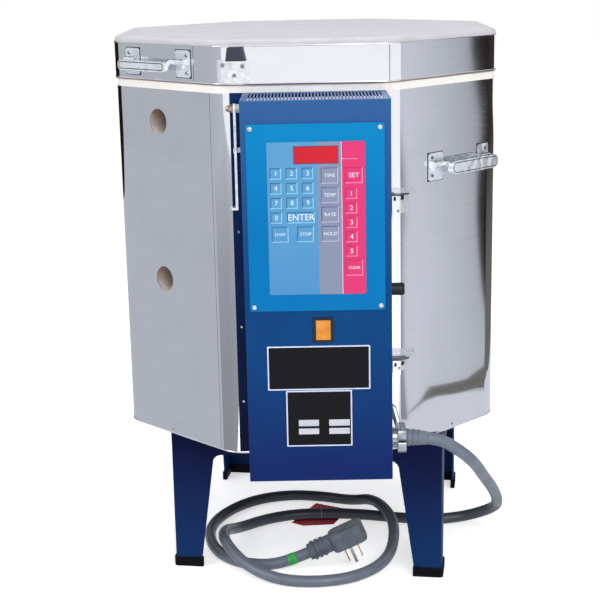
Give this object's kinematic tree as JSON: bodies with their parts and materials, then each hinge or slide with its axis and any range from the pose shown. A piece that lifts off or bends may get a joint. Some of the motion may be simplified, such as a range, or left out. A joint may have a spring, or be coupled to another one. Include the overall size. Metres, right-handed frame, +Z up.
{
  "type": "ceramic kiln",
  "caption": "Top-loading octagonal electric kiln with a steel jacket, hinged brick lid, blue control box with keypad, bail handles, sheet stand and a grey power cord",
  "frame": {"origin": "on the floor, on the vertical axis of the octagonal chamber", "axes": "+Z up, -Y to the front where the control box is, +X to the viewer's right"},
  "size_m": [0.6011, 0.7138, 0.8302],
  "materials": {
    "navy_paint": "satin",
    "foot_rubber": "matte",
    "stainless": "polished",
    "pan_steel": "dull",
    "insulating_board": "matte",
    "firebrick": "matte",
    "element_wire": "dull",
    "porcelain": "satin",
    "brass": "satin",
    "dark_paint": "satin",
    "blue_paint": "satin",
    "plate_blue": "satin",
    "membrane": "satin",
    "display_red": "glossy",
    "black_plastic": "satin",
    "board_green": "satin",
    "transformer_steel": "dull",
    "amber": "glossy",
    "zinc": "satin",
    "nylon": "satin",
    "chrome": "polished",
    "cord_grey": "satin",
    "tag_red": "matte"
  },
  "bodies": {
    "kiln": {"stand_legs": "navy_paint", "stand_rails": "navy_paint", "rubber_feet": "foot_rubber", "base_pan": "pan_steel", "base_board": "insulating_board", "floor_slab": "firebrick", "brick_row_1": "firebrick", "brick_row_2": "firebrick", "brick_row_3": "firebrick", "brick_row_4": "firebrick", "heating_elements": "element_wire", "terminal_insulators": "porcelain", "element_connectors": "brass", "thermocouple_tube": "porcelain", "jacket": "stainless", "box_back_pan": "dark_paint", "box_cover": "blue_paint", "faceplate": "plate_blue", "faceplate_screws": "zinc", "keypad_membrane": "membrane", "display_lens": "display_red", "display_module": "black_plastic", "controller_board": "board_green", "board_components": "black_plastic", "power_relays": "black_plastic", "transformer": "transformer_steel", "terminal_block": "black_plastic", "rocker_housing": "black_plastic", "fuse_holder": "black_plastic", "prop_bolt": "zinc", "prop_spacer": "nylon", "acorn_nut": "brass", "prop_clip": "zinc", "box_stays": "zinc", "box_tabs": "zinc", "cord_clamp": "zinc", "cord_strap": "black_plastic", "side_handle_brackets": "chrome", "hinge_base": "zinc", "hinge_pin": "zinc", "power_cord": "cord_grey", "plug_body": "cord_grey", "plug_blades": "brass", "plug_ground_pin": "zinc", "cord_tag": "tag_red"},
    "lid": {"lid_slab": "firebrick", "lid_band": "stainless", "lid_catch_plate": "zinc", "lid_lift_block": "black_plastic", "lid_handle_brackets": "chrome", "hinge_leaf": "zinc"},
    "lid_handle": {"lid_grip": "chrome"},
    "right_handle": {"side_grip_right": "chrome"},
    "left_handle": {"side_grip_left": "chrome"},
    "prop": {"prop_arm": "zinc"},
    "rocker": {"rocker_button": "amber"},
    "fuse_cap": {"fuse_cap": "black_plastic"}
  },
  "joints": [
    {"name": "lid_hinge", "type": "hinge", "parent": "kiln", "child": "lid", "pos_m": [0, 0.298, 0.769], "axis": [-1, 0, 0], "range_deg": [0, 95]},
    {"name": "lid_handle_swing", "type": "hinge", "parent": "lid", "child": "lid_handle", "pos_m": [-0.20937, -0.20937, 0.7975], "axis": [-0.7071, 0.7071, 0], "range_deg": [0, 75]},
    {"name": "right_handle_swing", "type": "hinge", "parent": "kiln", "child": "right_handle", "pos_m": [0.20824, -0.20824, 0.643], "axis": [-0.7071, -0.7071, 0], "range_deg": [0, 75]},
    {"name": "left_handle_swing", "type": "hinge", "parent": "kiln", "child": "left_handle", "pos_m": [-0.20824, 0.20824, 0.643], "axis": [0.7071, 0.7071, 0], "range_deg": [0, 75]},
    {"name": "prop_swing", "type": "hinge", "parent": "kiln", "child": "prop", "pos_m": [-0.099, -0.312, 0.738], "axis": [-1, 0, 0], "range_deg": [0, 170]},
    {"name": "rocker_tip", "type": "hinge", "parent": "kiln", "child": "rocker", "pos_m": [0.018, -0.404, 0.445], "axis": [1, 0, 0], "range_deg": [-8, 8]},
    {"name": "fuse_cap_twist", "type": "hinge", "parent": "kiln", "child": "fuse_cap", "pos_m": [0.1218, -0.37, 0.492], "axis": [1, 0, 0], "range_deg": [0, 90]}
  ]
}
